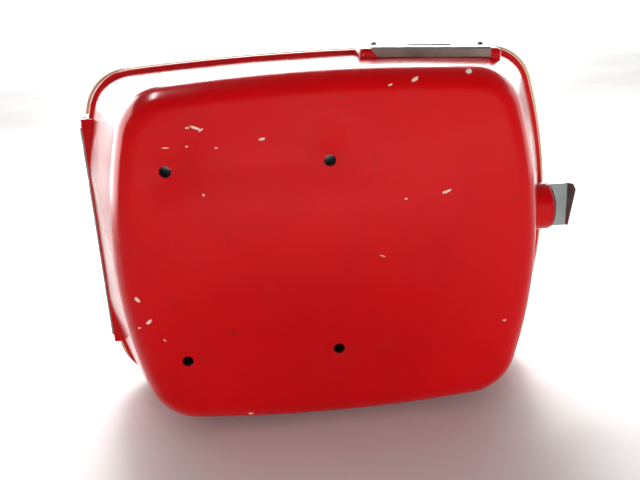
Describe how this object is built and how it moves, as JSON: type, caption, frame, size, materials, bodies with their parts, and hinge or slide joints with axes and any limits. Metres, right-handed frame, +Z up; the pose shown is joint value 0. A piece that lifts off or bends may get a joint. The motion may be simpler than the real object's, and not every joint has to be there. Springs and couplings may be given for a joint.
{
  "type": "newspaper vending box",
  "caption": "Wall- or post-mounted pressed steel paper dispenser with a bowed back shell, a side-hung display door, a coin head with cash drawer, and a turning side latch.",
  "frame": {"origin": "centre of the four mounting holes, on the outer face of the back panel", "axes": "+Z up, +Y out of the back towards the wall or post, -Y to the front, +X towards the door hinge"},
  "size_m": [0.5039, 0.232, 0.3599],
  "materials": {
    "red_enamel": "glossy baked enamel, chipped and scuffed",
    "zinc_plate": "dull zinc-plated sheet",
    "steel_plate": "worn bare steel",
    "chrome_trim": "polished, lightly pitted",
    "brass_part": "dull machined brass",
    "black_rubber": "matte",
    "black_plastic": "semi-gloss",
    "tan_vinyl": "aged cream trim",
    "clear_sheet": "clear, lightly scratched",
    "card": "blank printed card"
  },
  "bodies": {
    "cabinet": {"rear_shell": "red_enamel", "front_frame": "red_enamel", "door_seal": "black_rubber", "backing_plate": "steel_plate", "hinge_pad": "red_enamel", "hinge_leaf": "steel_plate", "hinge_pin": "steel_plate", "hinge_screws": "steel_plate", "coin_pad": "red_enamel", "coin_plate": "steel_plate", "coin_slot_bezel": "chrome_trim", "coin_plate_screws": "steel_plate", "latch_boss": "red_enamel", "latch_bush": "brass_part", "latch_washer": "black_rubber", "latch_guide": "steel_plate", "partition": "zinc_plate", "paper_shelf": "zinc_plate", "side_guide": "zinc_plate", "guide_rods": "steel_plate", "rod_brackets": "zinc_plate", "coin_housing": "zinc_plate", "housing_bracket": "steel_plate", "coin_faceplate": "chrome_trim", "faceplate_screws": "chrome_trim", "return_cup": "zinc_plate", "button_bezel": "chrome_trim", "button_guide": "zinc_plate", "coin_chute": "zinc_plate", "coin_selector": "zinc_plate", "drawer_runners": "steel_plate", "card_holder": "chrome_trim", "instruction_card": "card"},
    "door": {"door_shell": "red_enamel", "door_trim": "tan_vinyl", "door_hinge_pad": "red_enamel", "door_hinge_leaf": "steel_plate", "door_hinge_screws": "steel_plate", "window_bezel": "chrome_trim", "window_gasket": "black_rubber", "window_lens": "clear_sheet", "window_retainer": "zinc_plate", "door_pull": "chrome_trim", "pull_screws": "steel_plate", "latch_strike": "zinc_plate"},
    "handle": {"latch_handle": "zinc_plate", "latch_spindle": "steel_plate", "latch_cam": "steel_plate"},
    "bolt": {"latch_bolt": "zinc_plate"},
    "cash_box": {"cash_drawer": "zinc_plate", "drawer_front": "chrome_trim", "lock_bezel": "chrome_trim"},
    "drawer_lock": {"lock_plug": "brass_part", "lock_cam": "brass_part"},
    "flap": {"return_flap": "chrome_trim"},
    "button": {"return_button": "black_plastic"},
    "follower": {"follower_plate": "zinc_plate"},
    "lever": {"trip_lever": "steel_plate"}
  },
  "joints": [
    {"name": "door_hinge", "type": "hinge", "parent": "cabinet", "child": "door", "pos_m": [0.16628, -0.1295, 0.0015], "axis": [0, 0, 1], "range_deg": [0, 110]},
    {"name": "handle_turn", "type": "hinge", "parent": "cabinet", "child": "handle", "pos_m": [-0.30599, -0.094, 0.006], "axis": [-1, 0, 0], "range_deg": [0, 50]},
    {"name": "bolt_slide", "type": "slide", "parent": "cabinet", "child": "bolt", "axis": [0, 0, 1], "range_m": [0, 0.01184]},
    {"name": "cash_drawer_slide", "type": "slide", "parent": "cabinet", "child": "cash_box", "axis": [0, -1, 0], "range_m": [0, 0.1]},
    {"name": "drawer_lock_turn", "type": "hinge", "parent": "cash_box", "child": "drawer_lock", "pos_m": [-0.201, -0.201, -0.054], "axis": [0, -1, 0], "range_deg": [0, 90]},
    {"name": "return_flap_swing", "type": "hinge", "parent": "cabinet", "child": "flap", "pos_m": [-0.201, -0.1975, 0.023], "axis": [1, 0, 0], "range_deg": [0, 60]},
    {"name": "return_button_press", "type": "slide", "parent": "cabinet", "child": "button", "axis": [0, 1, 0], "range_m": [0, 0.006], "stiffness_N_per_m": 300},
    {"name": "follower_slide", "type": "slide", "parent": "cabinet", "child": "follower", "axis": [0, 1, 0], "range_m": [-0.072, 0]},
    {"name": "trip_lever_swing", "type": "hinge", "parent": "cabinet", "child": "lever", "pos_m": [-0.224, -0.091, 0.05], "axis": [0, 1, 0], "range_deg": [0, 18]}
  ],
  "couplings": [
    {"joint": "bolt_slide", "follows": "handle_turn", "m_per_rad": 0.01356}
  ]
}
